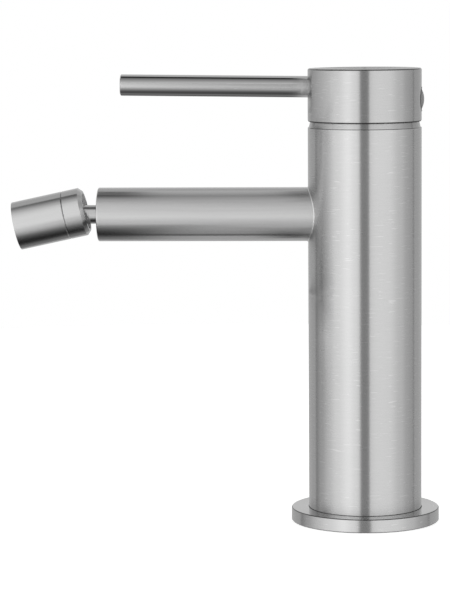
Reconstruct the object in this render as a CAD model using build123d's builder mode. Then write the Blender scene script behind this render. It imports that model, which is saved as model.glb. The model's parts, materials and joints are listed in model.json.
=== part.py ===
"""A single-lever bidet mixer: a round column on a base ring, with a ball-jointed nozzle.

Millimetres. The deck is the plane z = 0 and the column stands on the Z axis. The spout and the
lever point along -X, and the hot side is +Y.
"""

from build123d import *
import math
import os

# Gaps and small finishes shared by many pieces
fit_gap = 0.05          # round a turned piece that is screwed or pressed into another
slide_gap = 0.15        # between pieces that move past each other
joint_gap = 0.05        # between the ball and its seats, and round them
overrun = 1.0           # how far a cut runs past the face that it opens
seal_thickness = 1.6    # section of every round rubber ring
seal_squeeze = 0.1      # left round a rubber ring in its groove

# Column and base ring
column_wall = 2.0
column_edge = 0.2
ledge_width = 1.0       # ledge in the bore that the waterway body stands on
ledge_height = 3.0
flange_rim = 6.5        # how far the base ring stands out round the column
flange_height = 5.0
flange_lip = 1.5        # ledge of the base ring that lies under the column
flange_edge = 0.3
deck_seal_inset = 2.0   # from the base ring's rim to the deck seal
deck_seal_width = 2.4
deck_seal_height = 1.5

# Base insert, with the threads that hold the mixer and its supply hoses
insert_height = 12.0
inlet_thread_radius = 4.5
inlet_thread_depth = 7.0
stud_thread_radius = 3.4
stud_thread_depth = 9.0
stud_offset = 10.0      # from the column's axis to the fixing stud, away from the spout

# Supply tubes and waterway body
tube_radius = 4.0
tube_wall = 1.0
tube_socket_depth = 4.0
waterway_height = 22.0
waterway_socket_depth = 6.0
outlet_roof = 4.3       # from the spout's axis to the top of the waterway body
port_radius = 2.0
outlet_offset = 3.5     # from the column's axis to the mixed outlet, away from the spout
outlet_radius = 3.0
passage_radius = 2.8
peg_radius = 1.4
peg_height = 2.0
peg_offset = 8.5        # of both locating pegs, along X and along Y

# Spout
spout_height = 114.7
spout_radius = 10.0
spout_wall = 2.0
spout_reach = 99.1      # from the column's axis to the spout's end
spout_edge = 0.5
liner_radius = 3.6
liner_wall = 0.8
liner_socket_depth = 5.0
plug_length = 12.0

# Cartridge
cartridge_radius = 17.4
cartridge_gap = 1.6     # between the cartridge and the column's bore
cartridge_base_height = 2.5
cartridge_foot = 1.5    # height of the base's wide foot
port_seal_width = 1.0
housing_wall = 1.7
housing_neck_wall = 2.1
disc_thickness = 2.8
disc_land = 0.2         # closed width between the moving disc's pocket and the inlets at rest
pocket_depth = 1.8
carrier_plate = 1.5
carrier_floor = 0.75    # under the spindle's drive ball
rib_overhang = 2.25     # of the carrier's rib, beyond each side of the spindle
rib_lift = 1.5          # from the drive ball's centre to the rib's top
rotor_flange = 2.2
rotor_seal_depth = 3.0  # from the rotor's top to its seal's middle
pin_radius = 1.5
spindle_edge = 0.5
spindle_arm = 7.4       # from the pivot pin to the drive ball
drive_ball_radius = 2.0
drive_neck_radius = 1.1
square_drop = 4.0       # from the pivot pin to the lower end of the spindle's square

# Widths inside the cartridge, as shares of its radius
inlet_setback_share = 10 / 29   # from the column's axis to both inlets, towards the spout
inlet_spacing_share = 25 / 29
neck_share = 22 / 29            # the housing's neck
spindle_share = 65 / 174        # the spindle's square

# Retaining nut and dome collar
spigot_depth = 2.0
spigot_wall = 1.5
nut_height = 5.0
nut_notches = 6
notch_width = 3.0
notch_depth = 2.0
groove_height = 2.5     # from the column's top to the hub's rim
collar_step = 0.4       # the collar is this much slimmer than the column
collar_gap = 0.4        # between the collar's shoulder and the hub's rim
dome_gap = 0.35         # between the dome and the hub's hollow
dome_wall = 1.2
dome_front_rim = 8.8    # from the hub's front to the dome's opening
dome_back_rim = 2.8     # the same at the back

# Lever hub and lever
pivot_drop = 12.0       # from the hub's rim down to the pivot pin
hub_height = 19.1
hub_rim_wall = 0.7
hub_edge = 0.4
hub_roof = 4.1          # over the spindle
boss_wall = 1.8         # round the corners of the spindle
boss_lift = 1.5         # from the hub's rim to the boss's lower end
lever_drop = 7.0        # from the hub's top to the lever's axis, over the column's axis
lever_radius = 3.97
lever_reach = 90.3
lever_edge = 0.3
lever_socket_depth = 4.0
lever_stud_radius = 3.0
lever_stud_depth = 7.0  # of the stud's thread in the lever
button_height = 7.7     # from the hub's rim to the index button's middle
button_radius = 4.4
button_depth = 2.2
button_dome = 0.9
button_stem_radius = 2.0
button_stem_depth = 2.6

# Ball joint and nozzle, set out along the nozzle's axis from the ball's centre
ball_offset = 10.9      # from the spout's end to the ball's centre
ball_radius = 6.25
neck_radius = 3.5
neck_clearance = 0.15
stem_thread_radius = 4.0
stem_thread_length = 5.0
stem_bore_radius = 1.75
seat_wall = 0.7
rear_seat_angle = 85.0  # from the spout's axis to the rear seat's front edge, in degrees
seat_face = 1.9         # from the ball's centre to the front seat's rear face
seat_front = 5.6
seat_hole_radius = 3.0
seat_seal_height = 0.5
nozzle_radius = 9.0
nozzle_rear = 6.4
nozzle_seam = 1.1
nozzle_front = 20.2
nozzle_rear_edge = 1.3
nozzle_front_edge = 0.4
seam_gap = 0.2
seam_edge = 0.15
nozzle_spigot_wall = 0.9
nozzle_spigot_end = 6.1
sleeve_shoulder_radius = 5.5
sleeve_shoulder_height = 1.5
aerator_wall = 1.6      # of the sleeve round the aerator
aerator_shell = 1.0
aerator_inset = 1.3     # from the sleeve's front to the aerator's face
aerator_floor = 1.2
washer_height = 1.2
washer_width = 2.0
regulator_height = 2.0
regulator_gap = 1.0
screen_height = 0.4
screen_gap = 1.0
grid_hole_radius = 0.55
grid_pitch = 1.5

# Ranges of the joints, in degrees
lever_lift = 25.0
lever_rise = 0.8        # the lever's slope on its hub at rest
nozzle_tilt = 12.2      # nose down at rest
ball_swing = 17.0       # of the ball joint, up, down and to each side of the spout's axis

# Levels and radii worked out from the sizes above
column_bore = cartridge_radius + cartridge_gap
column_radius = column_bore + column_wall
flange_radius = column_radius + flange_rim
inlet_setback = inlet_setback_share * cartridge_radius
inlet_spacing = inlet_spacing_share * cartridge_radius
spindle_width = spindle_share * cartridge_radius
rib_width = spindle_width + 2 * rib_overhang
waterway_top = spout_height + outlet_roof
waterway_bottom = waterway_top - waterway_height
fixed_disc_bottom = waterway_top + cartridge_base_height
moving_disc_bottom = fixed_disc_bottom + disc_thickness
carrier_bottom = moving_disc_bottom + disc_thickness
drive_ball_height = carrier_bottom + carrier_floor + slide_gap + drive_ball_radius
pivot_height = drive_ball_height + spindle_arm
hub_bottom = pivot_height + pivot_drop
hub_top = hub_bottom + hub_height
column_top = hub_bottom - groove_height
nut_top = column_top - spigot_depth
shoulder_height = nut_top - nut_height
rotor_bottom = carrier_bottom + carrier_plate + slide_gap
rotor_shoulder = rotor_bottom + rotor_flange
rib_top = drive_ball_height + rib_lift
neck_outside = neck_share * cartridge_radius
rotor_radius = neck_outside - housing_neck_wall - slide_gap
cavity_radius = cartridge_radius - housing_wall
spindle_top = hub_top - hub_roof
lever_height = hub_top - lever_drop
spout_bore = spout_radius - spout_wall
plug_back = spout_reach - plug_length
ball_reach = spout_reach + ball_offset

# Directions and planes
lift = math.radians(lever_lift)
rise = math.radians(lever_rise)
tilt = math.radians(nozzle_tilt)
side_swing = math.radians(ball_swing)
corner_swing = math.acos(math.cos(side_swing) ** 2)
lever_direction = (-math.cos(rise), 0, math.sin(rise))
nozzle_direction = (-math.cos(tilt), 0, -math.sin(tilt))
ball_centre = (-ball_reach, 0, spout_height)
lever_plane = Plane(origin=(0, 0, lever_height), x_dir=(0, 1, 0), z_dir=lever_direction)
spout_plane = Plane(origin=(0, 0, spout_height), x_dir=(0, 1, 0), z_dir=(-1, 0, 0))
nozzle_plane = Plane(origin=ball_centre, x_dir=(0, 1, 0), z_dir=nozzle_direction)
button_plane = Plane(
    origin=(column_radius, 0, hub_bottom + button_height), x_dir=(0, 1, 0), z_dir=(1, 0, 0)
)
inlet_places = [(-inlet_setback, side * inlet_spacing / 2) for side in (1, -1)]
seal_radius = seal_thickness / 2


def section_along(origin, direction):
    """The XZ plane with its y along a direction, and its x across it, for turned outlines."""
    x, _, z = direction
    return Plane(origin=origin, x_dir=(z, 0, -x), z_dir=(0, -1, 0))


def neck_crossing(sphere_radius, swing):
    """Radius and setback of the point where the swung neck, with clearance, leaves a sphere."""
    lift_off = neck_radius / math.cos(swing) + neck_clearance
    slope = math.tan(swing)
    reach = math.sqrt((1 + slope**2) * sphere_radius**2 - lift_off**2)
    setback = (reach - lift_off * slope) / (1 + slope**2)
    return lift_off + slope * setback, setback


def finish(piece, name):
    """Label a finished piece and write it to its own file."""
    piece.part.label = name
    export_step(piece.part, f"parts/{name}.step")


os.makedirs("parts", exist_ok=True)
spout_section = section_along((0, 0, spout_height), (-1, 0, 0))
spout_axis = Axis((0, 0, spout_height), (-1, 0, 0))
ball_section = section_along(ball_centre, (-1, 0, 0))
ball_axis = Axis(ball_centre, (-1, 0, 0))
nozzle_section = section_along(ball_centre, nozzle_direction)
nozzle_axis = Axis(ball_centre, nozzle_direction)

# Base ring, which lies on the deck and holds the column's foot
seal_groove_outside = flange_radius - deck_seal_inset
seal_groove_inside = seal_groove_outside - deck_seal_width
with BuildPart() as base_flange:
    with BuildSketch():
        Circle(flange_radius)
        Circle(column_bore, mode=Mode.SUBTRACT)
    extrude(amount=flange_height)
    with BuildSketch(Plane.XY.offset(flange_lip)):
        Circle(column_radius + fit_gap)
    extrude(amount=flange_height, mode=Mode.SUBTRACT)
    with BuildSketch():
        Circle(seal_groove_outside)
        Circle(seal_groove_inside, mode=Mode.SUBTRACT)
    extrude(amount=deck_seal_height + seal_squeeze, mode=Mode.SUBTRACT)
    rims = base_flange.edges().filter_by(GeomType.CIRCLE).group_by(SortBy.RADIUS)[-1]
    chamfer(rims, length=flange_edge)
finish(base_flange, "base_flange")

with BuildPart() as deck_seal:
    with BuildSketch():
        Circle(seal_groove_outside - seal_squeeze)
        Circle(seal_groove_inside + seal_squeeze, mode=Mode.SUBTRACT)
    extrude(amount=deck_seal_height)
finish(deck_seal, "deck_seal")

# Column, a tube with a ledge in its bore and a round hole for the spout
with BuildPart() as column_body:
    with BuildSketch(Plane.XZ):
        Polygon(
            (column_bore, flange_lip),
            (column_radius, flange_lip),
            (column_radius, column_top),
            (column_bore, column_top),
            (column_bore, waterway_bottom),
            (column_bore - ledge_width, waterway_bottom),
            (column_bore - ledge_width, waterway_bottom - ledge_height),
            (column_bore, waterway_bottom - ledge_height),
        )
    revolve(axis=Axis.Z)
    with BuildSketch(spout_plane):
        Circle(spout_radius + fit_gap)
    extrude(amount=column_radius + overrun, mode=Mode.SUBTRACT)
    top_edges = column_body.edges().filter_by(GeomType.CIRCLE).group_by(Axis.Z)[-1]
    chamfer(top_edges.sort_by(SortBy.RADIUS)[-1], length=column_edge)
finish(column_body, "column_body")

# Base insert, threaded for two supply hoses and the fixing stud
insert_radius = column_bore - fit_gap
insert_seal_height = (insert_height + flange_lip) / 2
groove_radius = tube_radius + seal_thickness + seal_squeeze
with BuildPart() as base_insert:
    with BuildSketch():
        Circle(insert_radius)
    extrude(amount=insert_height)
    with BuildSketch():
        with Locations(*inlet_places):
            Circle(inlet_thread_radius)
    extrude(amount=inlet_thread_depth, mode=Mode.SUBTRACT)
    with BuildSketch(Plane.XY.offset(inlet_thread_depth)):
        with Locations(*inlet_places):
            Circle(tube_radius - tube_wall)
    extrude(amount=insert_height, mode=Mode.SUBTRACT)
    with BuildSketch(Plane.XY.offset(insert_height - tube_socket_depth)):
        with Locations(*inlet_places):
            Circle(tube_radius + fit_gap)
    extrude(amount=tube_socket_depth, mode=Mode.SUBTRACT)
    with BuildSketch(Plane.XY.offset(insert_height - tube_socket_depth / 2 - seal_radius)):
        with Locations(*inlet_places):
            Circle(groove_radius)
    extrude(amount=seal_thickness, mode=Mode.SUBTRACT)
    with BuildSketch():
        with Locations((stud_offset, 0)):
            Circle(stud_thread_radius)
    extrude(amount=stud_thread_depth, mode=Mode.SUBTRACT)
    with BuildSketch(Plane.XY.offset(insert_seal_height - seal_radius - seal_squeeze)):
        Circle(insert_radius + overrun)
        Circle(column_bore - seal_thickness - seal_squeeze, mode=Mode.SUBTRACT)
    extrude(amount=seal_thickness + 2 * seal_squeeze, mode=Mode.SUBTRACT)
finish(base_insert, "base_insert")

with BuildPart(Plane.XY.offset(insert_seal_height)) as insert_seal:
    Torus(major_radius=column_bore - seal_radius - fit_gap, minor_radius=seal_radius)
finish(insert_seal, "insert_seal")

# Supply tubes, from the base insert up to the waterway body
tube_bottom = insert_height - tube_socket_depth
tube_top = waterway_bottom + waterway_socket_depth
for tube_name, place in zip(("hot_supply_tube", "cold_supply_tube"), inlet_places):
    with BuildPart() as supply_tube:
        with BuildSketch(Plane.XY.offset(tube_bottom)):
            with Locations(place):
                Circle(tube_radius)
                Circle(tube_radius - tube_wall, mode=Mode.SUBTRACT)
        extrude(amount=tube_top - tube_bottom)
    finish(supply_tube, tube_name)

lower_seal_height = insert_height - tube_socket_depth / 2
upper_seal_height = waterway_bottom + waterway_socket_depth / 2
with BuildPart() as tube_seals:
    for x, y in inlet_places:
        for z in (lower_seal_height, upper_seal_height):
            with Locations((x, y, z)):
                Torus(major_radius=tube_radius + seal_radius + fit_gap, minor_radius=seal_radius)
finish(tube_seals, "tube_seals")

# Waterway body, which takes hot and cold up to the cartridge and mixed water out to the spout
liner_start = column_bore - liner_socket_depth
liner_seal_setback = liner_socket_depth / 2
liner_groove_radius = liner_radius + seal_thickness + seal_squeeze
with BuildPart() as waterway_body:
    with BuildSketch(Plane.XY.offset(waterway_bottom)):
        Circle(column_bore - fit_gap)
    extrude(amount=waterway_height)
    with BuildSketch(Plane.XY.offset(waterway_bottom)):
        with Locations(*inlet_places):
            Circle(port_radius)
    extrude(amount=waterway_height, mode=Mode.SUBTRACT)
    with BuildSketch(Plane.XY.offset(waterway_bottom)):
        with Locations(*inlet_places):
            Circle(tube_radius + fit_gap)
    extrude(amount=waterway_socket_depth, mode=Mode.SUBTRACT)
    with BuildSketch(Plane.XY.offset(upper_seal_height - seal_radius)):
        with Locations(*inlet_places):
            Circle(groove_radius)
    extrude(amount=seal_thickness, mode=Mode.SUBTRACT)
    with BuildSketch(Plane.XY.offset(spout_height)):
        with Locations((outlet_offset, 0)):
            Circle(outlet_radius)
    extrude(amount=outlet_roof, mode=Mode.SUBTRACT)
    with BuildSketch(spout_plane.offset(-outlet_offset)):
        Circle(passage_radius)
    extrude(amount=column_bore, mode=Mode.SUBTRACT)
    with BuildSketch(spout_plane.offset(liner_start)):
        Circle(liner_radius + fit_gap)
    extrude(amount=liner_socket_depth, mode=Mode.SUBTRACT)
    with BuildSketch(Plane.XY.offset(waterway_top - peg_height)):
        with Locations((peg_offset, peg_offset), (peg_offset, -peg_offset)):
            Circle(peg_radius + fit_gap)
    extrude(amount=peg_height, mode=Mode.SUBTRACT)
finish(waterway_body, "waterway_body")

# Spout, a tube that ends on the column's bore and is closed by a threaded plug
with BuildPart() as spout_tube:
    with BuildSketch(spout_plane):
        Circle(spout_radius)
        Circle(spout_bore, mode=Mode.SUBTRACT)
    extrude(amount=spout_reach)
    with BuildSketch(Plane.XY):
        Circle(column_bore)
    extrude(amount=column_top, mode=Mode.SUBTRACT)
    end_edges = spout_tube.edges().filter_by(GeomType.CIRCLE).group_by(Axis.X)[0]
    fillet(end_edges.sort_by(SortBy.RADIUS)[-1], radius=spout_edge)
finish(spout_tube, "spout_tube")

with BuildPart() as spout_liner:
    with BuildSketch(spout_plane.offset(liner_start)):
        Circle(liner_radius)
        Circle(liner_radius - liner_wall, mode=Mode.SUBTRACT)
    extrude(amount=plug_back + liner_socket_depth - liner_start)
finish(spout_liner, "spout_liner")

liner_seal_place = plug_back + liner_socket_depth / 2
with BuildPart() as spout_plug:
    with BuildSketch(spout_plane.offset(plug_back)):
        Circle(spout_bore - fit_gap)
    extrude(amount=plug_length)
    with BuildSketch(spout_plane.offset(plug_back)):
        Circle(liner_radius + fit_gap)
    extrude(amount=liner_socket_depth, mode=Mode.SUBTRACT)
    with BuildSketch(spout_plane.offset(liner_seal_place - seal_radius)):
        Circle(liner_groove_radius)
    extrude(amount=seal_thickness, mode=Mode.SUBTRACT)
    with BuildSketch(spout_plane.offset(plug_back)):
        Circle(liner_radius - liner_wall)
    extrude(amount=plug_length, mode=Mode.SUBTRACT)
    with BuildSketch(spout_plane.offset(spout_reach - stem_thread_length)):
        Circle(stem_thread_radius + fit_gap)
    extrude(amount=stem_thread_length, mode=Mode.SUBTRACT)
finish(spout_plug, "spout_plug")

with BuildPart(spout_plane.offset(liner_seal_place)) as liner_seal:
    Torus(major_radius=liner_radius + seal_radius + fit_gap, minor_radius=seal_radius)
finish(liner_seal, "liner_seal")

# Cartridge base, with its locating pegs and the seals under its three ports
spigot_radius = cavity_radius - fit_gap
port_places = [(place, port_radius) for place in inlet_places] + [((outlet_offset, 0), outlet_radius)]
seal_recess = cartridge_foot - fit_gap
with BuildPart() as cartridge_base:
    with BuildSketch(Plane.XY.offset(waterway_top)):
        Circle(cartridge_radius)
    extrude(amount=cartridge_foot)
    with BuildSketch(Plane.XY.offset(waterway_top + cartridge_foot)):
        Circle(spigot_radius)
    extrude(amount=cartridge_base_height - cartridge_foot)
    with BuildSketch(Plane.XY.offset(waterway_top - peg_height)):
        with Locations((peg_offset, peg_offset), (peg_offset, -peg_offset)):
            Circle(peg_radius)
    extrude(amount=peg_height)
    for place, radius in port_places:
        with BuildSketch(Plane.XY.offset(waterway_top)):
            with Locations(place):
                Circle(radius)
        extrude(amount=cartridge_base_height, mode=Mode.SUBTRACT)
        with BuildSketch(Plane.XY.offset(waterway_top)):
            with Locations(place):
                Circle(radius + port_seal_width)
        extrude(amount=seal_recess, mode=Mode.SUBTRACT)
finish(cartridge_base, "cartridge_base")

with BuildPart() as port_seals:
    for place, radius in port_places:
        with BuildSketch(Plane.XY.offset(waterway_top)):
            with Locations(place):
                Circle(radius + port_seal_width - fit_gap)
                Circle(radius, mode=Mode.SUBTRACT)
        extrude(amount=seal_recess)
finish(port_seals, "port_seals")

# Ceramic discs: the fixed one has the three ports, the moving one a pocket that joins them
disc_travel = spindle_arm * math.sin(lift)
moving_radius = cavity_radius - disc_travel - 2 * slide_gap
pocket_radius = math.hypot(inlet_setback, inlet_spacing / 2) - port_radius - disc_land
with BuildPart() as fixed_disc:
    with BuildSketch(Plane.XY.offset(fixed_disc_bottom)):
        Circle(spigot_radius - slide_gap)
        for place, radius in port_places:
            with Locations(place):
                Circle(radius, mode=Mode.SUBTRACT)
    extrude(amount=disc_thickness)
finish(fixed_disc, "fixed_disc")

with BuildPart() as moving_disc:
    with BuildSketch(Plane.XY.offset(moving_disc_bottom)):
        Circle(moving_radius)
    extrude(amount=disc_thickness)
    with BuildSketch(Plane.XY.offset(moving_disc_bottom)):
        Circle(pocket_radius)
    extrude(amount=pocket_depth, mode=Mode.SUBTRACT)
finish(moving_disc, "moving_disc")

# Disc carrier, with the socket that the spindle's drive ball pushes
socket_width = 2 * (drive_ball_radius + slide_gap)
with BuildPart() as disc_carrier:
    with BuildSketch(Plane.XY.offset(carrier_bottom)):
        Circle(moving_radius)
    extrude(amount=carrier_plate)
    with BuildSketch(Plane.XY.offset(carrier_bottom)):
        Rectangle(rib_width, rib_width)
    extrude(amount=rib_top - carrier_bottom)
    with BuildSketch(Plane.XY.offset(carrier_bottom + carrier_floor)):
        Rectangle(socket_width, socket_width)
    extrude(amount=rib_top, mode=Mode.SUBTRACT)
finish(disc_carrier, "disc_carrier")

# Rotor, which turns in the housing's neck and carries the spindle on its pivot pin
slot_reach = spindle_width / 2 / math.cos(lift) + (nut_top - pivot_height) * math.tan(lift)
rotor_slot_length = 2 * (slot_reach + 2 * slide_gap)
rotor_flange_radius = cavity_radius - 4 * slide_gap
rotor_groove_depth = seal_thickness - slide_gap
with BuildPart() as rotor:
    with BuildSketch(Plane.XY.offset(rotor_bottom)):
        Circle(rotor_radius)
    extrude(amount=nut_top - rotor_bottom)
    with BuildSketch(Plane.XY.offset(rotor_bottom)):
        Circle(rotor_flange_radius)
    extrude(amount=rotor_flange)
    with BuildSketch(Plane.XY.offset(rotor_bottom)):
        Rectangle(2 * cartridge_radius, rib_width + 2 * slide_gap)
    extrude(amount=rib_top + slide_gap - rotor_bottom, mode=Mode.SUBTRACT)
    with BuildSketch(Plane.XY.offset(rotor_bottom)):
        Rectangle(rotor_slot_length, spindle_width + 2 * slide_gap)
    extrude(amount=nut_top, mode=Mode.SUBTRACT)
    with BuildSketch(Plane.XZ.offset(-rotor_radius)):
        with Locations((0, pivot_height)):
            Circle(pin_radius + fit_gap)
    extrude(amount=2 * rotor_radius, mode=Mode.SUBTRACT)
    with BuildSketch(Plane.XY.offset(nut_top - rotor_seal_depth - seal_radius)):
        Circle(rotor_radius + overrun)
        Circle(rotor_radius - rotor_groove_depth, mode=Mode.SUBTRACT)
    extrude(amount=seal_thickness, mode=Mode.SUBTRACT)
finish(rotor, "rotor")

with BuildPart() as pivot_pin:
    with BuildSketch(Plane.XZ.offset(slide_gap - rotor_radius)):
        with Locations((0, pivot_height)):
            Circle(pin_radius)
    extrude(amount=2 * (rotor_radius - slide_gap))
finish(pivot_pin, "pivot_pin")

rotor_seal_inside = rotor_radius - rotor_groove_depth + fit_gap
with BuildPart(Plane.XY.offset(nut_top - rotor_seal_depth)) as rotor_seal:
    Torus(major_radius=rotor_seal_inside + seal_radius - fit_gap / 2, minor_radius=seal_radius - fit_gap)
finish(rotor_seal, "rotor_seal")

# Cartridge housing, held down by the retaining nut
with BuildPart() as cartridge_housing:
    with BuildSketch(Plane.XY.offset(waterway_top + cartridge_foot)):
        Circle(cartridge_radius)
    extrude(amount=shoulder_height - waterway_top - cartridge_foot)
    with BuildSketch(Plane.XY.offset(shoulder_height)):
        Circle(neck_outside)
    extrude(amount=nut_top - shoulder_height)
    with BuildSketch(Plane.XY.offset(waterway_top + cartridge_foot)):
        Circle(cavity_radius)
    extrude(amount=rotor_shoulder + slide_gap - waterway_top - cartridge_foot, mode=Mode.SUBTRACT)
    with BuildSketch(Plane.XY.offset(waterway_top + cartridge_foot)):
        Circle(rotor_radius + slide_gap)
    extrude(amount=nut_top, mode=Mode.SUBTRACT)
finish(cartridge_housing, "cartridge_housing")

with BuildPart() as retaining_nut:
    with BuildSketch(Plane.XY.offset(shoulder_height)):
        Circle(column_bore - fit_gap)
        Circle(neck_outside + fit_gap, mode=Mode.SUBTRACT)
    extrude(amount=nut_height)
    with BuildSketch(Plane.XY.offset(nut_top - notch_depth)):
        with PolarLocations(neck_outside, nut_notches):
            Rectangle(notch_width, notch_width)
    extrude(amount=notch_depth, mode=Mode.SUBTRACT)
finish(retaining_nut, "retaining_nut")

# Dome collar, screwed into the column's top: its rim shows in the groove under the hub
hollow_radius = math.hypot(column_radius - hub_rim_wall, pivot_drop)
dome_radius = hollow_radius - dome_gap
collar_top = hub_bottom - collar_gap
collar_rim = math.sqrt(dome_radius**2 - (collar_top - pivot_height) ** 2)
dome_opening_radius = column_radius - (dome_front_rim + dome_back_rim) / 2
dome_opening_offset = (dome_front_rim - dome_back_rim) / 2
with BuildPart() as dome_collar:
    with BuildSketch(Plane.XZ):
        with Locations((0, pivot_height)):
            Circle(dome_radius)
            Circle(dome_radius - dome_wall, mode=Mode.SUBTRACT)
        with Locations((column_radius, collar_top + column_radius)):
            Rectangle(2 * column_radius, 2 * column_radius, mode=Mode.INTERSECT)
        Polygon(
            (column_bore - spigot_wall, nut_top),
            (column_bore - fit_gap, nut_top),
            (column_bore - fit_gap, column_top),
            (column_radius - collar_step, column_top),
            (collar_rim, collar_top),
            (column_bore - spigot_wall, collar_top),
        )
    revolve(axis=Axis.Z)
    with BuildSketch(Plane.XY.offset(collar_top)):
        with Locations((dome_opening_offset, 0)):
            Circle(dome_opening_radius)
    extrude(amount=dome_radius, mode=Mode.SUBTRACT)
finish(dome_collar, "dome_collar")

# Spindle, from the drive ball up through the rotor into the hub
with BuildPart() as spindle:
    with BuildSketch(Plane.XY.offset(pivot_height - square_drop)):
        RectangleRounded(spindle_width, spindle_width, spindle_edge)
    extrude(amount=spindle_top - pivot_height + square_drop)
    with BuildSketch(Plane.XY.offset(drive_ball_height)):
        Circle(drive_neck_radius)
    extrude(amount=spindle_arm)
    with Locations((0, 0, drive_ball_height)):
        Sphere(drive_ball_radius)
    with BuildSketch(Plane.XZ.offset(-spindle_width)):
        with Locations((0, pivot_height)):
            Circle(pin_radius + fit_gap)
    extrude(amount=2 * spindle_width, mode=Mode.SUBTRACT)
finish(spindle, "spindle")

# Lever hub: its hollow is a ball shape about the pivot pin, so it tilts over the column's rim
boss_bottom = hub_bottom + boss_lift
boss_radius = (spindle_width - spindle_edge) / math.sqrt(2) + boss_wall
stud_end = spindle_width / 2 + fit_gap
with BuildPart() as lever_hub:
    with BuildSketch(Plane.XY.offset(hub_bottom)):
        Circle(column_radius)
    extrude(amount=hub_height)
    chamfer(lever_hub.edges().group_by(Axis.Z)[-1], length=hub_edge)
    with Locations((0, 0, pivot_height)):
        Sphere(hollow_radius, mode=Mode.SUBTRACT)
    with BuildSketch(Plane.XY.offset(boss_bottom)):
        Circle(boss_radius)
    extrude(amount=spindle_top - boss_bottom)
    with BuildSketch(Plane.XY.offset(boss_bottom)):
        Rectangle(spindle_width + 2 * fit_gap, spindle_width + 2 * fit_gap)
    extrude(amount=spindle_top + fit_gap - boss_bottom, mode=Mode.SUBTRACT)
    with BuildSketch(lever_plane.offset(column_radius - lever_socket_depth)):
        Circle(lever_radius + fit_gap)
    extrude(amount=lever_socket_depth + overrun, mode=Mode.SUBTRACT)
    with BuildSketch(lever_plane):
        Circle(lever_stud_radius + fit_gap)
    extrude(amount=column_radius, mode=Mode.SUBTRACT)
    with BuildSketch(button_plane.offset(-button_depth)):
        Circle(button_radius + fit_gap)
    extrude(amount=button_depth + overrun, mode=Mode.SUBTRACT)
    with BuildSketch(button_plane.offset(-button_depth - button_stem_depth)):
        Circle(button_stem_radius + fit_gap)
    extrude(amount=button_stem_depth, mode=Mode.SUBTRACT)
finish(lever_hub, "lever_hub")

# Lever, a plain rod on a threaded stud whose end also clamps the spindle
lever_start = column_radius - lever_socket_depth
lever_length = lever_reach / math.cos(rise) - lever_start
with BuildPart() as lever_rod:
    with BuildSketch(lever_plane.offset(lever_start)):
        Circle(lever_radius)
    extrude(amount=lever_length)
    chamfer(lever_rod.edges().filter_by(GeomType.CIRCLE).group_by(Axis.X)[0], length=lever_edge)
    with BuildSketch(lever_plane.offset(lever_start)):
        Circle(lever_stud_radius + fit_gap)
    extrude(amount=lever_stud_depth, mode=Mode.SUBTRACT)
finish(lever_rod, "lever_rod")

with BuildPart() as lever_stud:
    with BuildSketch(lever_plane.offset(stud_end)):
        Circle(lever_stud_radius)
    extrude(amount=lever_start + lever_stud_depth - stud_end)
finish(lever_stud, "lever_stud")

# Index button, a domed plug in the back of the hub
button_rim = column_radius - math.sqrt(column_radius**2 - button_radius**2)
button_height_over_rim = button_rim + button_dome
button_curve = (button_radius**2 + button_height_over_rim**2) / (2 * button_height_over_rim)
with BuildPart() as index_button:
    with BuildSketch(button_plane.offset(-button_depth)):
        Circle(button_radius)
    extrude(amount=button_depth + button_dome)
    with BuildSketch(button_plane.offset(-button_depth - button_stem_depth)):
        Circle(button_stem_radius)
    extrude(amount=button_stem_depth)
    with Locations(button_plane.offset(button_dome - button_curve)):
        Sphere(button_curve, mode=Mode.INTERSECT)
    with BuildSketch(button_plane.offset(-button_depth - button_stem_depth)):
        Circle(button_stem_radius)
    extrude(amount=button_stem_depth + button_depth)
    with BuildSketch(button_plane.offset(-button_depth)):
        Circle(button_radius)
    extrude(amount=button_depth - button_rim)
finish(index_button, "index_button")

# Ball stem, a hollow ball on a neck that screws into the spout's plug
with BuildPart() as ball_stem:
    with BuildSketch(spout_plane.offset(spout_reach - stem_thread_length)):
        Circle(stem_thread_radius)
    extrude(amount=stem_thread_length)
    with BuildSketch(spout_plane.offset(spout_reach)):
        Circle(neck_radius)
    extrude(amount=ball_offset)
    with Locations(ball_centre):
        Sphere(ball_radius)
    with BuildSketch(spout_plane.offset(spout_reach - stem_thread_length)):
        Circle(stem_bore_radius)
    extrude(amount=stem_thread_length + ball_offset + ball_radius, mode=Mode.SUBTRACT)
finish(ball_stem, "ball_stem")

# Ball seats: the rear one follows the nozzle from side to side, the front one up and down too
seat_inside = ball_radius + joint_gap
seat_outside = seat_inside + seat_wall
rear_edge_radius, rear_edge_setback = neck_crossing(seat_inside, side_swing)
wedge_reach = 2 * seat_outside
wedge_start = math.atan2(rear_edge_radius, rear_edge_setback)
wedge_end = math.radians(rear_seat_angle)
with BuildPart() as rear_ball_seat:
    with BuildSketch(ball_section):
        Circle(seat_outside)
        Circle(seat_inside, mode=Mode.SUBTRACT)
        Polygon(
            (0, 0),
            (wedge_reach * math.sin(wedge_start), -wedge_reach * math.cos(wedge_start)),
            (wedge_reach * math.sin(wedge_end), -wedge_reach * math.cos(wedge_end)),
            mode=Mode.INTERSECT,
        )
    revolve(axis=ball_axis)
finish(rear_ball_seat, "rear_ball_seat")

with BuildPart() as front_ball_seat:
    with BuildSketch(nozzle_section):
        Polygon(
            (seat_hole_radius, seat_face),
            (seat_outside, seat_face),
            (seat_outside, seat_front),
            (seat_hole_radius, seat_front),
        )
        Circle(seat_inside, mode=Mode.SUBTRACT)
    revolve(axis=nozzle_axis)
finish(front_ball_seat, "front_ball_seat")

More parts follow.
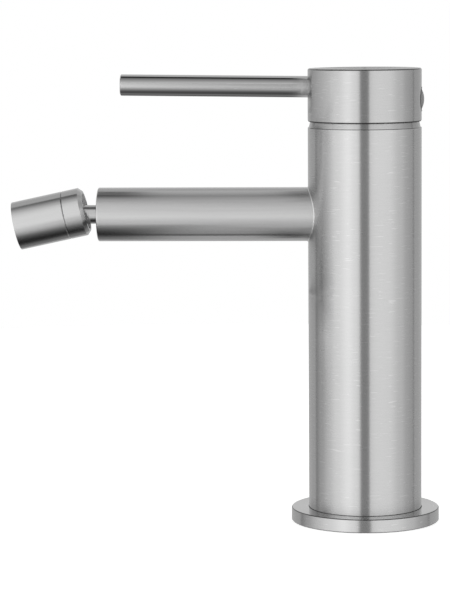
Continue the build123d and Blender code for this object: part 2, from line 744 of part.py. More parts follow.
# Swivel collar, the rear part of the nozzle, which holds both seats on the ball
collar_bore = seat_outside + joint_gap
spigot_outside = collar_bore + nozzle_spigot_wall
lip_radius, lip_setback = neck_crossing(collar_bore, corner_swing)
mouth_slope = math.tan(corner_swing)
mouth_radius = lip_radius + (nozzle_rear - lip_setback) * mouth_slope + neck_clearance
with BuildPart() as swivel_collar:
    with BuildSketch(nozzle_section):
        Polygon(
            (mouth_radius, -nozzle_rear),
            (nozzle_radius - nozzle_rear_edge, -nozzle_rear),
            (nozzle_radius, nozzle_rear_edge - nozzle_rear),
            (nozzle_radius, nozzle_seam - seam_edge),
            (nozzle_radius - seam_edge, nozzle_seam),
            (spigot_outside, nozzle_seam),
            (spigot_outside, nozzle_spigot_end),
            (collar_bore, nozzle_spigot_end),
            (collar_bore, 0),
            (lip_radius, -lip_setback),
        )
        Circle(collar_bore, mode=Mode.SUBTRACT)
    revolve(axis=nozzle_axis)
finish(swivel_collar, "swivel_collar")

# Nozzle sleeve, screwed on the collar's spigot
sleeve_back = nozzle_seam + seam_gap
shoulder_back = nozzle_spigot_end + slide_gap
shoulder_front = shoulder_back + sleeve_shoulder_height
aerator_bore = nozzle_radius - aerator_wall
with BuildPart() as nozzle_sleeve:
    with BuildSketch(nozzle_section):
        Polygon(
            (spigot_outside + fit_gap, sleeve_back),
            (nozzle_radius - seam_edge, sleeve_back),
            (nozzle_radius, sleeve_back + seam_edge),
            (nozzle_radius, nozzle_front),
            (aerator_bore, nozzle_front),
            (aerator_bore, shoulder_front),
            (sleeve_shoulder_radius, shoulder_front),
            (sleeve_shoulder_radius, shoulder_back),
            (spigot_outside + fit_gap, shoulder_back),
        )
    revolve(axis=nozzle_axis)
    front_edges = nozzle_sleeve.edges().filter_by(GeomType.CIRCLE).group_by(Axis.X)[0]
    fillet(front_edges.sort_by(SortBy.RADIUS)[-1], radius=nozzle_front_edge)
finish(nozzle_sleeve, "nozzle_sleeve")

with BuildPart() as seat_seal:
    with BuildSketch(nozzle_plane.offset(seat_front)):
        Circle(seat_outside)
        Circle(sleeve_shoulder_radius, mode=Mode.SUBTRACT)
    extrude(amount=seat_seal_height)
finish(seat_seal, "seat_seal")

# Aerator: washer, cup with its outlet grid, flow regulator and two screens
cup_radius = aerator_bore - fit_gap
cup_back = shoulder_front + washer_height
cup_front = nozzle_front - aerator_inset
regulator_back = cup_back + regulator_gap
screen_back = regulator_back + regulator_height + screen_gap
insert_disc_radius = cup_radius - aerator_shell - fit_gap
with BuildPart() as aerator_washer:
    with BuildSketch(nozzle_plane.offset(shoulder_front)):
        Circle(cup_radius)
        Circle(cup_radius - washer_width, mode=Mode.SUBTRACT)
    extrude(amount=washer_height)
finish(aerator_washer, "aerator_washer")

with BuildPart() as aerator_cup:
    with BuildSketch(nozzle_plane.offset(cup_back)):
        Circle(cup_radius)
        Circle(cup_radius - aerator_shell, mode=Mode.SUBTRACT)
    extrude(amount=cup_front - cup_back)
    with BuildSketch(nozzle_plane.offset(cup_front - aerator_floor)):
        Circle(cup_radius - aerator_shell)
        with HexLocations(grid_pitch / 2, 7, 7):
            Circle(grid_hole_radius, mode=Mode.SUBTRACT)
    extrude(amount=aerator_floor)
finish(aerator_cup, "aerator_cup")

with BuildPart() as flow_regulator:
    with BuildSketch(nozzle_plane.offset(regulator_back)):
        Circle(insert_disc_radius)
        with PolarLocations(insert_disc_radius / 2, 8):
            Circle(grid_hole_radius, mode=Mode.SUBTRACT)
    extrude(amount=regulator_height)
finish(flow_regulator, "flow_regulator")

with BuildPart() as aerator_screens:
    for level in (screen_back, screen_back + screen_height + screen_gap):
        with BuildSketch(nozzle_plane.offset(level)):
            Circle(insert_disc_radius)
            with HexLocations(grid_pitch / 2, 5, 5):
                Circle(grid_hole_radius, mode=Mode.SUBTRACT)
        extrude(amount=screen_height)
finish(aerator_screens, "aerator_screens")
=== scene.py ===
"""The look of a single-lever bidet mixer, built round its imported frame.

Metres. The deck is the plane z = 0 and the column stands on the Z axis. The spout and the lever
point along -X. Azimuths are measured from the camera's side, -Y, and grow towards -X.
"""

import json
import math

import bmesh
import bpy
from mathutils import Matrix, Vector


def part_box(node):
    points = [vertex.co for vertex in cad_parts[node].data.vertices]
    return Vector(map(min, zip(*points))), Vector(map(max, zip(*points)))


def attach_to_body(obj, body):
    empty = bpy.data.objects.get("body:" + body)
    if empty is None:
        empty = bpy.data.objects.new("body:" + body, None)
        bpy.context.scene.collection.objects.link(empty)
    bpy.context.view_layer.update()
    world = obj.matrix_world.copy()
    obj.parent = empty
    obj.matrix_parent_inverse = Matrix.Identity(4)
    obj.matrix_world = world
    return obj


MM = 0.001

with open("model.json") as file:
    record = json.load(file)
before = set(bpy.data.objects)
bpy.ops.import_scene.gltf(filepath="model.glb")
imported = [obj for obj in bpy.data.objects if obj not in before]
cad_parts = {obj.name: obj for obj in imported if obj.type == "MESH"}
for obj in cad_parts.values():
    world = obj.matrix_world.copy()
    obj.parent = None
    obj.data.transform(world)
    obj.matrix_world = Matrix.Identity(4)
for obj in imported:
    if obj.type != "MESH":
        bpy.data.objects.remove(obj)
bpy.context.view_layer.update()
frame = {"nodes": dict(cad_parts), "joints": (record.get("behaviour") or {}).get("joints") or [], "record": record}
nodes = frame["nodes"]

# Camera, solved from the photograph's outlines
camera_place = Vector((0.01422, -0.99881, 0.19635))
camera_yaw = math.radians(3.8)
camera_pitch = math.radians(6.483)
camera_roll = math.radians(-0.422)
camera_lens = 162.07
camera_sensor = 36.0
camera_clip = 0.05

# Places and sizes read from the frame
column_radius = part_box("column_body")[1].x
flange_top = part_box("base_flange")[1].z
hub_low, hub_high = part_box("lever_hub")
spout_low, spout_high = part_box("spout_tube")
button_low, button_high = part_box("index_button")
spout_radius = spout_high.y
spout_level = (spout_low.z + spout_high.z) / 2
button_radius = (button_high.y - button_low.y) / 2
button_level = (button_low.z + button_high.z) / 2

# Directions of the two tilted pieces, and the ball joint's centre
joints = {joint["name"]: joint for joint in frame["joints"]}
nozzle_axis = Vector(joints["nozzle_spin"]["axis"]).normalized()
ball_centre = Vector(joints["nozzle_yaw"]["pos_m"])
lever_rise = math.radians(0.8)
lever_axis = Vector((-math.cos(lever_rise), 0, math.sin(lever_rise)))
lever_depth = 7.0 * MM
lever_level = hub_high.z - lever_depth


def new_node(tree, kind, inputs=None, **settings):
    """Adds a shader node, with its settings, and links or sets the named inputs."""
    made = tree.nodes.new(kind)
    for key, value in settings.items():
        setattr(made, key, value)
    for key, value in (inputs or {}).items():
        socket = made.inputs[key]
        if isinstance(value, bpy.types.NodeSocket):
            tree.links.new(value, socket)
        else:
            socket.default_value = value
    return made


def math_node(tree, operation, a, b=0.0, c=0.0):
    return new_node(tree, "ShaderNodeMath", {0: a, 1: b, 2: c}, operation=operation).outputs[0]


def vector_node(tree, operation, a, b=(0, 0, 0)):
    made = new_node(tree, "ShaderNodeVectorMath", {0: a, 1: b}, operation=operation)
    return made.outputs["Value" if operation in ("DOT_PRODUCT", "LENGTH") else "Vector"]


def scaled(tree, vector, factor):
    made = new_node(tree, "ShaderNodeVectorMath", {0: vector, "Scale": factor}, operation="SCALE")
    return made.outputs["Vector"]


def map_node(tree, value, start, end, low=0.0, high=1.0, steps="LINEAR"):
    """Carries start to low and end to high, and holds these two beyond."""
    inputs = {"Value": value, "From Min": start, "From Max": end, "To Min": low, "To Max": high}
    return new_node(tree, "ShaderNodeMapRange", inputs, interpolation_type=steps).outputs["Result"]


def fade_node(tree, value, start, end, low=0.0, high=1.0):
    """As map_node, but eased at both ends."""
    return map_node(tree, value, start, end, low, high, "SMOOTHSTEP")


def noise_node(tree, vector, scale, detail=2.0):
    inputs = {"Vector": vector, "Scale": scale, "Detail": detail}
    return new_node(tree, "ShaderNodeTexNoise", inputs).outputs["Fac"]


def grey(level):
    return (level, level, level, 1.0)


def ramp_node(tree, factor, stops, interpolation="LINEAR"):
    """A colour ramp of greys or colours, given as (place, level or colour) stops."""
    made = new_node(tree, "ShaderNodeValToRGB", {"Fac": factor})
    ramp = made.color_ramp
    ramp.interpolation = interpolation
    while len(ramp.elements) > 1:
        ramp.elements.remove(ramp.elements[-1])
    for index, (place, colour) in enumerate(stops):
        stop = ramp.elements[0] if index == 0 else ramp.elements.new(place)
        stop.position = place
        stop.color = colour if isinstance(colour, tuple) else grey(colour)
    return made.outputs["Color"]


def object_place(tree):
    return new_node(tree, "ShaderNodeTexCoord").outputs["Object"]


def new_material(name):
    """A material with an empty principled shader, and its node tree."""
    material = bpy.data.materials.new(name)
    material.use_nodes = True
    tree = material.node_tree
    tree.nodes.clear()
    shader = new_node(tree, "ShaderNodeBsdfPrincipled")
    new_node(tree, "ShaderNodeOutputMaterial", {"Surface": shader.outputs["BSDF"]})
    return material, tree, shader


# Axes that the steel is brushed round or along
up = Vector((0, 0, 1))
left = Vector((-1, 0, 0))
foot = Vector((0, 0, 0))
spout_middle = Vector((0, 0, spout_level))
lever_middle = Vector((0, 0, lever_level))

# Brushed steel: its dashes and its blots of grain, each with a size across the axis and along it
dash_size = (4 * MM, 0.45 * MM)
dash_start = 0.745
dash_full = 0.765
round_grain = (7 * MM, 0.5 * MM)
long_grain = (0.5 * MM, 30 * MM)
grain_share = 0.5
grain_roughness = 0.02
grain_depth = 0.002 * MM
grain_strength = 0.06
cloud_size = 40 * MM
cloud_share = 0.3
tone_start = 0.1
turned_roughness = 0.27
face_roughness = 0.12


def marks(tree, place, axis, along, size, detail):
    """Noise whose blots have one size across the axis and one along it."""
    across_size, along_size = size
    stretch = 1 / along_size - 1 / across_size
    moved = scaled(tree, tuple(axis), math_node(tree, "MULTIPLY", along, stretch))
    mixed = vector_node(tree, "ADD", scaled(tree, place, 1 / across_size), moved)
    return noise_node(tree, mixed, scale=1.0, detail=detail)


def end_share(tree, axis):
    """1 on faces square to the axis and 0 on the round wall."""
    normal = new_node(tree, "ShaderNodeNewGeometry").outputs["Normal"]
    facing = new_node(
        tree, "ShaderNodeVectorTransform", {"Vector": normal},
        vector_type="NORMAL", convert_from="WORLD", convert_to="OBJECT",
    )
    return math_node(tree, "ABSOLUTE", vector_node(tree, "DOT_PRODUCT", facing.outputs[0], tuple(axis)))


def brushed_steel(name, origin, axis, tones, roughness, end_roughness, grain, dash, edge):
    """Steel brushed round an axis or along it, with grain, bright dashes and painted shade on rounded edges."""
    material, tree, shader = new_material(name)
    place = vector_node(tree, "SUBTRACT", object_place(tree), tuple(origin))
    turning = vector_node(tree, "CROSS_PRODUCT", tuple(axis), place)
    height = vector_node(tree, "DOT_PRODUCT", place, tuple(axis))
    along = math_node(tree, "ADD", height, vector_node(tree, "LENGTH", turning))
    fine = marks(tree, place, axis, along, grain, detail=2.0)
    spots = marks(tree, place, axis, along, dash_size, detail=0.0)
    dashes = ramp_node(tree, spots, [(0.0, 0.0), (dash_start, 0.0), (dash_full, 1.0)])
    cloud = noise_node(tree, place, 1 / cloud_size, detail=1.0)
    cloud = math_node(tree, "MULTIPLY", cloud, cloud_share)
    tone = math_node(tree, "MULTIPLY_ADD", fine, grain_share, cloud)
    tone = math_node(tree, "MULTIPLY_ADD", dashes, dash, tone)
    ending = end_share(tree, axis)
    # Painted shade on rounded edges: at most a quarter, where an edge turns over, and nothing on the wall and the
    # end
    bend = math_node(tree, "MULTIPLY", ending, math_node(tree, "SUBTRACT", 1.0, ending))
    shade = math_node(tree, "MULTIPLY_ADD", bend, -4 * edge, 1.0)
    colour = scaled(tree, ramp_node(tree, tone, [(tone_start, tones[0]), (1.0, tones[1])]), shade)
    tree.links.new(colour, shader.inputs["Base Color"])
    smoothest = roughness - grain_roughness / 2
    rough = math_node(tree, "MULTIPLY_ADD", ending, end_roughness - roughness, smoothest)
    rough = math_node(tree, "MULTIPLY_ADD", fine, grain_roughness, rough)
    tree.links.new(rough, shader.inputs["Roughness"])
    tangent = new_node(
        tree, "ShaderNodeVectorTransform", {"Vector": turning},
        vector_type="VECTOR", convert_from="OBJECT", convert_to="WORLD",
    )
    tree.links.new(tangent.outputs[0], shader.inputs["Tangent"])
    bump = {"Height": fine, "Strength": grain_strength, "Distance": grain_depth}
    tree.links.new(new_node(tree, "ShaderNodeBump", bump).outputs[0], shader.inputs["Normal"])
    shader.inputs["Metallic"].default_value = 1.0
    shader.inputs["Anisotropic"].default_value = 1.0
    shader.inputs["Anisotropic Rotation"].default_value = 0.25
    return material


def turned_steel(name, tones, end_roughness=face_roughness, edge=0.0):
    """Steel turned about the column's axis, with bright dashes round it and painted shade on rounded edges."""
    return brushed_steel(
        name, foot, up, tones, turned_roughness, end_roughness, round_grain, dash=1.0, edge=edge
    )


def drawn_steel(name, origin, axis, tones, roughness):
    """Steel brushed along an axis."""
    return brushed_steel(
        name, origin, axis, tones, roughness, face_roughness, long_grain, dash=0.0, edge=0.0
    )


# Other materials: blots, patches and grains per metre, what the roughness varies by, and the
# levels of a noise between which a colour changes
metal_blots = 900.0
metal_patches = 300.0
metal_spread = 0.08
moulded_grains = 1500.0
moulded_spread = 0.06
moulded_strength = 0.3
noise_dark = 0.3
noise_light = 0.7


def colour_by(tree, shader, noise, dark, light):
    """Base colour that follows a noise."""
    colour = ramp_node(tree, noise, [(noise_dark, dark), (noise_light, light)])
    tree.links.new(colour, shader.inputs["Base Color"])


def roughen_by(tree, shader, noise, roughness, spread):
    """Roughness that a noise varies by spread to each side."""
    rough = map_node(tree, noise, 0.0, 1.0, roughness - spread, roughness + spread)
    tree.links.new(rough, shader.inputs["Roughness"])


def plain_metal(name, dark, light, roughness):
    """Bright metal with soft uneven tone, for pieces inside."""
    material, tree, shader = new_material(name)
    place = object_place(tree)
    colour_by(tree, shader, noise_node(tree, place, metal_blots, detail=3.0), dark, light)
    roughen_by(tree, shader, noise_node(tree, place, metal_patches), roughness, metal_spread)
    shader.inputs["Metallic"].default_value = 1.0
    return material


def moulded(name, dark, light, roughness, depth):
    """Moulded plastic, rubber or fired ceramic, with a fine grain."""
    material, tree, shader = new_material(name)
    noise = noise_node(tree, object_place(tree), moulded_grains, detail=3.0)
    colour_by(tree, shader, noise, dark, light)
    roughen_by(tree, shader, noise, roughness, moulded_spread)
    bump = {"Height": noise, "Strength": moulded_strength, "Distance": depth}
    tree.links.new(new_node(tree, "ShaderNodeBump", bump).outputs[0], shader.inputs["Normal"])
    return material


# Brushed steel
# edge=0.8 paints shade on the rounded edges of the column, the flange and the hub
upright_steel = turned_steel("upright_steel", tones=(0.53, 0.62), edge=0.8)
hub_steel = turned_steel("hub_steel", tones=(0.50, 0.585), end_roughness=0.32, edge=0.8)
collar_steel = turned_steel("collar_steel", tones=(0.45, 0.53))
spout_steel = drawn_steel("spout_steel", spout_middle, left, tones=(0.56, 0.66), roughness=0.25)
stem_steel = drawn_steel("stem_steel", spout_middle, left, tones=(0.60, 0.70), roughness=0.12)
# The lever's tones are raised above the other steel's: painted light that lifts it where it reflects the dark gap
# between the soft boxes
lever_steel = drawn_steel("lever_steel", lever_middle, lever_axis, tones=(0.69, 0.79), roughness=0.13)
nozzle_steel = drawn_steel("nozzle_steel", ball_centre, nozzle_axis, tones=(0.58, 0.68), roughness=0.22)

# Plain metals
# Painted light: pale, very rough metal that lightens the shaded inner wall of the nozzle's mouth
mouth_painted_light_steel = plain_metal("mouth_painted_light_steel", grey(0.88), grey(0.95), roughness=0.85)
bead_steel = plain_metal("bead_steel", grey(0.74), grey(0.82), roughness=0.22)
inner_steel = plain_metal("inner_steel", grey(0.45), grey(0.55), roughness=0.3)
brass = plain_metal("brass", (0.50, 0.33, 0.12, 1), (0.60, 0.42, 0.18, 1), roughness=0.32)
copper = plain_metal("copper", (0.62, 0.30, 0.18, 1), (0.72, 0.38, 0.24, 1), roughness=0.3)

# Rubber, ceramic and plastics
rubber = moulded("rubber", grey(0.012), grey(0.025), roughness=0.6, depth=0.02 * MM)
ceramic = moulded("ceramic", grey(0.74), grey(0.80), roughness=0.2, depth=0.001 * MM)
white_plastic = moulded("white_plastic", grey(0.66), grey(0.72), roughness=0.38, depth=0.003 * MM)
grey_plastic = moulded("grey_plastic", grey(0.28), grey(0.34), roughness=0.4, depth=0.003 * MM)
button_plastic = moulded("button_plastic", grey(0.24), grey(0.28), roughness=0.4, depth=0.003 * MM)

# What the CAD nodes are made of
made_of = [
    (upright_steel, ["column_body", "base_flange"]),
    (collar_steel, ["dome_collar"]),
    (hub_steel, ["lever_hub"]),
    (spout_steel, ["spout_tube", "spout_plug"]),
    (stem_steel, ["ball_stem"]),
    (lever_steel, ["lever_rod"]),
    (nozzle_steel, ["swivel_collar", "nozzle_sleeve"]),
    (button_plastic, ["index_button"]),
    (brass, ["base_insert", "waterway_body", "retaining_nut"]),
    (copper, ["hot_supply_tube", "cold_supply_tube", "spout_liner"]),
    (inner_steel, ["pivot_pin", "spindle", "lever_stud", "aerator_screens"]),
    (rubber, [name for name in nodes if "seal" in name or "washer" in name]),
    (ceramic, ["fixed_disc", "moving_disc"]),
    (white_plastic, ["cartridge_base", "disc_carrier", "rotor", "cartridge_housing"]),
    (white_plastic, ["rear_ball_seat", "front_ball_seat", "flow_regulator"]),
    (grey_plastic, ["aerator_cup"]),
]


def dress(name, material):
    """Gives a CAD node one material."""
    piece = nodes[name]
    piece.data.materials.clear()
    piece.data.materials.append(material)


def dress_mouth(name, material, axis, centre, reach):
    """Gives a piece's inner faces, nearer to an axis than reach, a second material."""
    mesh = nodes[name].data
    mesh.materials.append(material)
    for face in mesh.polygons:
        corners = [mesh.vertices[index].co - centre for index in face.vertices]
        if min((corner - corner.dot(axis) * axis).length for corner in corners) < reach:
            face.material_index = 1


for material, names in made_of:
    for name in names:
        dress(name, material)
mouth_radius = 6.9 * MM
# The mouth's inner faces get the pale metal as painted light
dress_mouth("swivel_collar", mouth_painted_light_steel, nozzle_axis, ball_centre, mouth_radius)

# Small pieces that only the look has
sharp_angle = math.radians(35)
circle_steps = 240
button_steps = 96
thread_steps = 48
bead_sides = 12
seam_sides = 8


def new_object(name, data):
    """An object with this mesh or camera, in the scene."""
    made = bpy.data.objects.new(name, data)
    bpy.context.scene.collection.objects.link(made)
    return made


def mesh_of(name, shell):
    """A mesh from a finished shell."""
    mesh = bpy.data.meshes.new(name)
    shell.to_mesh(mesh)
    shell.free()
    return mesh


def attach(name, mesh, material, body):
    """Puts a finished mesh in the scene, smooth, on the body that it moves with."""
    for face in mesh.polygons:
        face.use_smooth = True
    mesh.set_sharp_from_angle(angle=sharp_angle)
    mesh.materials.append(material)
    made = new_object(name, mesh)
    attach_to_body(made, body)


def swept(name, path, section, guide, closed):
    """A section, as (aside, along the guide) pairs, carried along a path of points."""
    count = len(path)
    shell = bmesh.new()
    rings = []
    for index, point in enumerate(path):
        before = path[index - 1] if closed or index else point
        after = path[(index + 1) % count] if closed or index < count - 1 else point
        ahead = (after - before).normalized()
        aside = ahead.cross(guide).normalized()
        lift = aside.cross(ahead)
        rings.append([shell.verts.new(point + aside * out + lift * rise) for out, rise in section])
    for index in range(count if closed else count - 1):
        ring, following = rings[index], rings[(index + 1) % count]
        for corner in range(len(section)):
            other = (corner + 1) % len(section)
            shell.faces.new((ring[corner], ring[other], following[other], following[corner]))
    if not closed:
        shell.faces.new(list(reversed(rings[0])))
        shell.faces.new(rings[-1])
    bmesh.ops.recalc_face_normals(shell, faces=shell.faces)
    return mesh_of(name, shell)


def angles_round(count):
    """The angles of count even steps round a circle."""
    return [2 * math.pi * step / count for step in range(count)]


def level_circle(reach, level):
    """A level circle round the column's axis."""
    path = []
    for angle in angles_round(circle_steps):
        path.append(Vector((reach * math.cos(angle), reach * math.sin(angle), level)))
    return path


def circle_on_wall(radius, level, side, count):
    """A circle seen along X, laid on the column's round wall at its -X or +X side."""
    path = []
    for angle in angles_round(count):
        aside = radius * math.cos(angle)
        out = math.sqrt(column_radius ** 2 - aside ** 2)
        path.append(Vector((side * out, aside, level + radius * math.sin(angle))))
    return path


def round_bead(name, path, radius, sides, guide, material, body):
    """A bead of round section along a closed path."""
    section = [(radius * math.cos(angle), radius * math.sin(angle)) for angle in angles_round(sides)]
    attach(name, swept(name, path, section, guide, True), material, body)


def weld_bead():
    """The polished bead where the spout meets the column."""
    bead = 0.24 * MM
    path = circle_on_wall(spout_radius, spout_level, -1, circle_steps)
    round_bead("weld_bead", path, bead, bead_sides, left, bead_steel, "mixer_body")


def foot_seam():
    """The thin line of sealant between the column and the base ring."""
    seam = 0.13 * MM
    path = level_circle(column_radius + seam / 2, flange_top)
    round_bead("foot_seam", path, seam, seam_sides, up, rubber, "mixer_body")


def button_seam():
    """The fine joint round the index button, where it sits in the hub."""
    seam = 0.14 * MM
    path = circle_on_wall(button_radius, button_level, 1, button_steps)
    round_bead("button_seam", path, seam, seam_sides, left, rubber, "lever")


def hub_gap_shade_ring():
    """A dark ring under the hub's edge, over the dome collar: painted shade that darkens the gap between them."""
    ring = 0.3 * MM
    inset = 0.45 * MM
    drop = 0.09 * MM
    path = level_circle(column_radius - inset, hub_low.z - drop)
    round_bead("hub_gap_shade_ring", path, ring, seam_sides, up, rubber, "lever")


def thread(mount):
    """The helical ridge of a threaded hole in the base insert."""
    pitch = 1.0 * MM
    ridge = 0.4 * MM
    sunk = 0.05 * MM
    crest_half = 0.06 * pitch
    root_half = 0.42 * pitch
    radius = mount["dims"]["r_mm"] * MM
    length = mount["dims"]["length_mm"] * MM - 2 * pitch
    mouth = Vector((mount["pos_m"][0], mount["pos_m"][1], pitch))
    path = []
    for step in range(int(length / pitch) * thread_steps + 1):
        angle = 2 * math.pi * step / thread_steps
        climb = pitch * step / thread_steps
        path.append(mouth + Vector((radius * math.cos(angle), radius * math.sin(angle), climb)))
    section = [(sunk, -root_half), (-ridge, -crest_half), (-ridge, crest_half), (sunk, root_half)]
    name = "thread_" + mount["name"]
    attach(name, swept(name, path, section, up, False), brass, "mixer_body")


weld_bead()
foot_seam()
button_seam()
# The dark ring in the hub's gap is painted shade
hub_gap_shade_ring()
for mount in frame["record"]["mounts"]:
    if mount["kind"] == "threaded_hole":
        thread(mount)

# The light: a round tent with two soft boxes, a dark gap between them, and a pale card behind
tent_radius = 2.5
tent_centre = Vector((0, 0, 0.1))
gap_centre = math.radians(-0.5)
gap_half = math.radians(9.3)
gap_soft = math.radians(1.2)
gap_level = 0.33
# The pale card behind: its brightness, what it has more in its upper middle, and where that begins
back_level = 0.53
back_more = 0.17
back_middle = 0.7
back_climb = (0.03, 0.12)
# Its two upright edges and the cut of its lower part, as shares of x and z, and its edge's softness
back_right_share = 0.62
back_left_share = 0.55
back_cut_share = 0.12
back_soft = 0.02
# Brightness round the horizon, as (azimuth in degrees, level)
round_stops = [
    (-120.6, 0.46), (-118.2, 0.08), (-115.8, 0.43), (-108, 0.46), (-97, 0.53), (-78, 0.74), (-50, 1.00),
    (-35, 1.03), (-24, 1.03), (-11, 0.94), (9, 0.92), (18, 1.10), (33, 1.27), (59, 1.02), (79, 0.81),
    (102, 0.50), (112, 0.36), (116.5, 0.20), (121, 0.30),
]
# Brightness from straight down to straight up, as (elevation in degrees, share)
rise_stops = [
    (-90, 0.42), (-71, 0.47), (-52, 0.66), (-34, 0.90), (-20, 1.08), (-6, 1.32), (9, 1.21),
    (35, 1.00), (66, 0.60), (86, 0.26), (90, 0.22),
]


def light_material(name):
    """An empty material for something that gives light, and its node tree."""
    material = bpy.data.materials.new(name)
    material.use_nodes = True
    material.cycles.emission_sampling = "NONE"
    material.node_tree.nodes.clear()
    return material, material.node_tree


def front_level(tree, x, y, z):
    """The soft boxes' brightness, with the dark gap between them."""
    azimuth = math_node(
        tree, "ARCTAN2", math_node(tree, "MULTIPLY", x, -1), math_node(tree, "MULTIPLY", y, -1)
    )
    elevation = math_node(tree, "ARCSINE", z)
    turn = map_node(tree, azimuth, -math.pi, math.pi)
    rise = map_node(tree, elevation, -math.pi / 2, math.pi / 2)
    around_stops = [(degrees / 360 + 0.5, level) for degrees, level in round_stops]
    over_stops = [(degrees / 180 + 0.5, share) for degrees, share in rise_stops]
    around = ramp_node(tree, turn, around_stops, "EASE")
    over = ramp_node(tree, rise, over_stops)
    off_gap = math_node(tree, "ABSOLUTE", math_node(tree, "SUBTRACT", azimuth, gap_centre))
    gap = fade_node(tree, off_gap, gap_half - gap_soft, gap_half + gap_soft, gap_level, 1.0)
    return math_node(tree, "MULTIPLY", math_node(tree, "MULTIPLY", around, over), gap)


def back_share(tree, x, y, z):
    """1 where the pale card is, and 0 in front of it."""
    right_edge = math_node(tree, "MULTIPLY", x, back_right_share)
    left_edge = math_node(tree, "MULTIPLY", x, -back_left_share)
    past_edge = math_node(tree, "SUBTRACT", y, math_node(tree, "MAXIMUM", right_edge, left_edge))
    below = math_node(tree, "MULTIPLY", math_node(tree, "MINIMUM", z, 0.0), back_cut_share)
    return fade_node(tree, math_node(tree, "ADD", past_edge, below), -back_soft, back_soft)


def back_brightness(tree, y, z):
    """The pale card's brightness."""
    middle = fade_node(tree, y, back_middle, 1.0)
    climb = map_node(tree, z, back_climb[0], back_climb[1])
    upper_middle = math_node(tree, "MULTIPLY", middle, climb)
    return math_node(tree, "MULTIPLY_ADD", upper_middle, back_more, back_level)


def light_tent():
    """A sphere that lights the object and shows in its metal, but not to the camera."""
    material, tree = light_material("tent_light")
    direction = vector_node(tree, "NORMALIZE", object_place(tree))
    x, y, z = new_node(tree, "ShaderNodeSeparateXYZ", {0: direction}).outputs
    levels = {0: back_share(tree, x, y, z), 2: front_level(tree, x, y, z), 3: back_brightness(tree, y, z)}
    level = new_node(tree, "ShaderNodeMix", levels)
    light = new_node(tree, "ShaderNodeEmission", {"Strength": level.outputs[0]})
    new_node(tree, "ShaderNodeOutputMaterial", {"Surface": light.outputs[0]})
    shell = bmesh.new()
    bmesh.ops.create_icosphere(shell, subdivisions=5, radius=tent_radius)
    mesh = mesh_of("light_tent", shell)
    mesh.materials.append(material)
    tent = new_object("light_tent", mesh)
    tent.location = tent_centre
    tent.visible_camera = False
    tent.visible_shadow = False


def card(name, corners, material):
    """Four corners as a stage piece that only reflections show."""
    mesh = bpy.data.meshes.new(name)
    mesh.from_pydata(corners, [], [(0, 1, 2, 3)])
    mesh.materials.append(material)
    made = new_object(name, mesh)
    made.visible_camera = False
    made.visible_diffuse = False
    made.visible_shadow = False
    made.visible_transmission = False


def flag(name, level, far, near, front, back, far_fade, near_fade, shades):
    """A level card that only the metal sees, shaded from front to back, clear at its ends."""
    material, tree = light_material(name)
    x, y = new_node(tree, "ShaderNodeSeparateXYZ", {0: object_place(tree)}).outputs[:2]
    strength = ramp_node(tree, map_node(tree, y, front, back), shades)
    light = new_node(tree, "ShaderNodeEmission", {"Strength": strength}).outputs[0]
    clear = new_node(tree, "ShaderNodeBsdfTransparent").outputs[0]
    far_end = fade_node(tree, x, far, far + far_fade)
    near_end = fade_node(tree, x, near, near - near_fade)
    solid = math_node(tree, "MULTIPLY", far_end, near_end)
    mixed = new_node(tree, "ShaderNodeMixShader", {0: solid, 1: clear, 2: light})
    new_node(tree, "ShaderNodeOutputMaterial", {"Surface": mixed.outputs[0]})
    outline = [(far, front), (near, front), (near, back), (far, back)]
    card(name, [(*corner, level) for corner in outline], material)


def side_card(name, side, front, back, low, high, front_strength, back_strength):
    """An upright card that only the metal sees, graded from front to back."""
    material, tree = light_material(name)
    y = new_node(tree, "ShaderNodeSeparateXYZ", {0: object_place(tree)}).outputs[1]
    strength = map_node(tree, y, front, back, front_strength, back_strength)
    light = new_node(tree, "ShaderNodeEmission", {"Strength": strength})
    new_node(tree, "ShaderNodeOutputMaterial", {"Surface": light.outputs[0]})
    outline = [(front, low), (back, low), (back, high), (front, high)]
    card(name, [(side, *corner) for corner in outline], material)


def nozzle_cards():
    """The cards over and under the nozzle and the spout's end."""
    flag(
        "card_above", level=spout_level + 145.3 * MM, far=-160 * MM, near=-55 * MM,
        front=-90 * MM, back=30 * MM, far_fade=10 * MM, near_fade=40 * MM,
        shades=[
            (0.0, 0.60), (0.033, 0.58), (0.21, 0.47), (0.367, 0.36), (0.49, 0.24), (0.617, 0.09),
            (0.708, 0.02), (0.9, 0.02), (1.0, 0.20),
        ],
    )
    flag(
        "card_below", level=spout_level - 44.7 * MM, far=-260 * MM, near=-67 * MM,
        front=-55 * MM, back=35 * MM, far_fade=10 * MM, near_fade=28 * MM,
        shades=[
            (0.0, 0.48), (0.15, 0.28), (0.25, 0.15), (0.41, 0.05), (0.52, 0.02), (0.62, 0.06),
            (0.74, 0.20), (1.0, 0.30),
        ],
    )


def lever_cards():
    """The cards over and under the lever, up to the hub."""
    near = -column_radius + 0.5 * MM
    flag(
        "card_over_lever", level=lever_level + 16.5 * MM, far=-110 * MM, near=near,
        front=-32 * MM, back=3 * MM, far_fade=5 * MM, near_fade=7.5 * MM,
        shades=[
            (0.0, 0.64), (0.31, 0.55), (0.49, 0.43), (0.65, 0.31), (0.75, 0.21), (0.86, 0.02),
            (0.93, 0.01), (1.0, 0.4),
        ],
    )
    flag(
        "card_under_lever", level=lever_level - 9.5 * MM, far=-110 * MM, near=near,
        front=-24 * MM, back=12 * MM, far_fade=5 * MM, near_fade=7.5 * MM,
        shades=[
            (0.0, 0.58), (0.25, 0.40), (0.41, 0.18), (0.50, 0.09), (0.59, 0.08), (0.667, 0.22),
            (0.78, 0.12), (0.933, 0.18), (1.0, 0.22),
        ],
    )


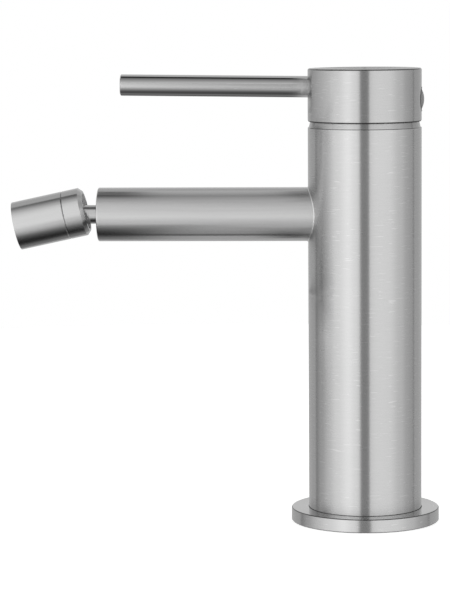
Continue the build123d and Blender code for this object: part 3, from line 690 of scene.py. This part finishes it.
def spout_cards():
    """The card over the spout's middle and the one under its root."""
    flag(
        "card_over_spout", level=spout_level + 33.3 * MM, far=-91 * MM, near=-column_radius - 5 * MM,
        front=-26 * MM, back=14 * MM, far_fade=12 * MM, near_fade=6 * MM,
        shades=[
            (0.0, 0.70), (0.09, 0.65), (0.25, 0.56), (0.35, 0.50), (0.4875, 0.38), (0.65, 0.52),
            (0.9, 0.66), (1.0, 0.68),
        ],
    )
    flag(
        "card_under_root", level=spout_level - 29.7 * MM, far=-45 * MM, near=-column_radius - 1.5 * MM,
        front=-26 * MM, back=9 * MM, far_fade=24 * MM, near_fade=3 * MM,
        shades=[(0.0, 0.26), (0.39, 0.11), (0.61, 0.04), (0.86, 0.06), (1.0, 0.30)],
    )


def hub_card():
    """The bright card close beside the hub, on the lever's side."""
    side_card(
        "card_by_hub", side=-column_radius - 2.5 * MM, front=-column_radius, back=-4.2 * MM,
        low=hub_low.z - 0.4 * MM, high=hub_high.z + 6.5 * MM, front_strength=1.0, back_strength=0.48,
    )


# White surroundings: what the world gives where it isn't seen, and the floor under the object
world_light = 0.6
floor_radius = 0.6
floor_middle = -0.05
floor_level = -0.3 * MM
floor_lift = 0.68


def seen_directly(tree):
    """1 for what the camera sees, directly or in metal or glass."""
    path = new_node(tree, "ShaderNodeLightPath").outputs
    either = math_node(tree, "ADD", path["Is Camera Ray"], path["Is Glossy Ray"])
    return math_node(tree, "MINIMUM", math_node(tree, "ADD", either, path["Is Transmission Ray"]), 1.0)


def white_world():
    """A world that is plain white where it is seen."""
    world = bpy.data.worlds.new("studio")
    bpy.context.scene.world = world
    world.use_nodes = True
    tree = world.node_tree
    tree.nodes.clear()
    strength = map_node(tree, seen_directly(tree), 0.0, 1.0, world_light, 1.0)
    light = new_node(tree, "ShaderNodeBackground", {"Color": grey(1.0), "Strength": strength})
    new_node(tree, "ShaderNodeOutputWorld", {"Surface": light.outputs[0]})


def disc(name, radius, level):
    """A flat round stage piece, centred under the object."""
    plate = bmesh.new()
    bmesh.ops.create_circle(plate, cap_ends=True, radius=radius, segments=128)
    made = new_object(name, mesh_of(name, plate))
    made.location = (floor_middle, 0, level)
    return made


def pale_floor():
    """A pale floor that shows white with the object's soft shadow on it."""
    material, tree, shader = new_material("pale_floor")
    shader.inputs["Base Color"].default_value = grey(0.8)
    shader.inputs["Roughness"].default_value = 0.9
    shader.inputs["Specular IOR Level"].default_value = 0.0
    shader.inputs["Emission Color"].default_value = grey(1.0)
    lift = math_node(tree, "MULTIPLY", seen_directly(tree), floor_lift)
    tree.links.new(lift, shader.inputs["Emission Strength"])
    floor = disc("floor", floor_radius, floor_level)
    floor.data.materials.append(material)
    floor.visible_glossy = False


def photo_camera():
    """The camera at the photograph's viewing angle."""
    forward = Vector((
        -math.sin(camera_yaw) * math.cos(camera_pitch),
        math.cos(camera_yaw) * math.cos(camera_pitch),
        -math.sin(camera_pitch),
    ))
    level = Vector((math.cos(camera_yaw), math.sin(camera_yaw), 0))
    above = level.cross(forward)
    right = math.cos(camera_roll) * level + math.sin(camera_roll) * above
    above = right.cross(forward)
    data = bpy.data.cameras.new("camera")
    data.lens = camera_lens
    data.sensor_width = camera_sensor
    data.clip_start = camera_clip
    camera = new_object("camera", data)
    turn = Matrix((right, above, -forward)).transposed()
    camera.matrix_world = Matrix.Translation(camera_place) @ turn.to_4x4()
    bpy.context.scene.camera = camera


light_tent()
nozzle_cards()
lever_cards()
spout_cards()
hub_card()
white_world()
pale_floor()
photo_camera()
bpy.context.scene.view_settings.view_transform = "Standard"
